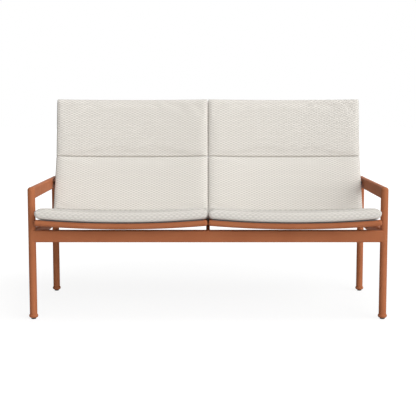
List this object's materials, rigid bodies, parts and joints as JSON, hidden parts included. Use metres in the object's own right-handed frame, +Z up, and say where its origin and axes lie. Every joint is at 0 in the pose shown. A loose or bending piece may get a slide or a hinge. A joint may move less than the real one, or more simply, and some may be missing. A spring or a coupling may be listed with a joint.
{
  "type": "patio loveseat",
  "caption": "Two-place outdoor loveseat: slim round-legged metal frame with arms, two bucket sling seats with thin quilted pads, and screw-in levelling glides.",
  "frame": {"origin": "on the floor, under the middle of the whole loveseat", "axes": "+X across the width to the right as seen from the front, +Y towards the back, +Z up"},
  "size_m": [1.4364, 0.7161, 0.8782],
  "materials": {
    "frame_paint": "satin terracotta powder coat on aluminium",
    "pad_fabric": "cream outdoor fabric with a small raised weave",
    "pad_foam": "quick-dry open-cell foam",
    "sling_mesh": "dark grey coated mesh",
    "hem_cord": "matte",
    "glide_plastic": "matte black",
    "stud_steel": "plain steel",
    "fastener_steel": "stainless",
    "spacer_plastic": "matte black"
  },
  "bodies": {
    "loveseat": {"arm_left": "frame_paint", "arm_right": "frame_paint", "back_foam_left": "pad_foam", "back_foam_right": "pad_foam", "back_hood_left": "pad_fabric", "back_hood_right": "pad_fabric", "back_pad_left": "pad_fabric", "back_pad_right": "pad_fabric", "centre_beam": "frame_paint", "centre_bolts": "fastener_steel", "centre_nuts": "fastener_steel", "centre_spacers": "spacer_plastic", "corner_spreader_left": "frame_paint", "corner_spreader_right": "frame_paint", "foot_collar_front_left": "frame_paint", "foot_collar_front_right": "frame_paint", "foot_collar_rear_left": "frame_paint", "foot_collar_rear_right": "frame_paint", "front_rail": "frame_paint", "front_tube_caps_left": "frame_paint", "front_tube_caps_right": "frame_paint", "front_tube_left": "frame_paint", "front_tube_right": "frame_paint", "hem_cords_left": "hem_cord", "hem_cords_right": "hem_cord", "inner_side_tube_left": "frame_paint", "inner_side_tube_right": "frame_paint", "leg_front_left": "frame_paint", "leg_front_right": "frame_paint", "leg_rear_left": "frame_paint", "leg_rear_right": "frame_paint", "outer_side_tube_left": "frame_paint", "outer_side_tube_right": "frame_paint", "rear_rail": "frame_paint", "seat_foam_left": "pad_foam", "seat_foam_right": "pad_foam", "seat_pad_left": "pad_fabric", "seat_pad_right": "pad_fabric", "side_bolts": "fastener_steel", "side_rail_left": "frame_paint", "side_rail_right": "frame_paint", "side_spacers": "spacer_plastic", "sling_left": "sling_mesh", "sling_right": "sling_mesh", "top_plugs_left": "frame_paint", "top_plugs_right": "frame_paint", "top_tube_left": "frame_paint", "top_tube_right": "frame_paint", "tube_inserts": "fastener_steel"},
    "levelling_foot_front_left": {"glide_front_left": "glide_plastic", "glide_stud_front_left": "stud_steel"},
    "levelling_foot_rear_left": {"glide_rear_left": "glide_plastic", "glide_stud_rear_left": "stud_steel"},
    "levelling_foot_front_right": {"glide_front_right": "glide_plastic", "glide_stud_front_right": "stud_steel"},
    "levelling_foot_rear_right": {"glide_rear_right": "glide_plastic", "glide_stud_rear_right": "stud_steel"}
  },
  "joints": [
    {"name": "levelling_front_left", "type": "slide", "parent": "loveseat", "child": "levelling_foot_front_left", "axis": [0, 0, -1], "range_m": [0, 0.01]},
    {"name": "levelling_rear_left", "type": "slide", "parent": "loveseat", "child": "levelling_foot_rear_left", "axis": [0, 0, -1], "range_m": [0, 0.01]},
    {"name": "levelling_front_right", "type": "slide", "parent": "loveseat", "child": "levelling_foot_front_right", "axis": [0, 0, -1], "range_m": [0, 0.01]},
    {"name": "levelling_rear_right", "type": "slide", "parent": "loveseat", "child": "levelling_foot_rear_right", "axis": [0, 0, -1], "range_m": [0, 0.01]}
  ]
}
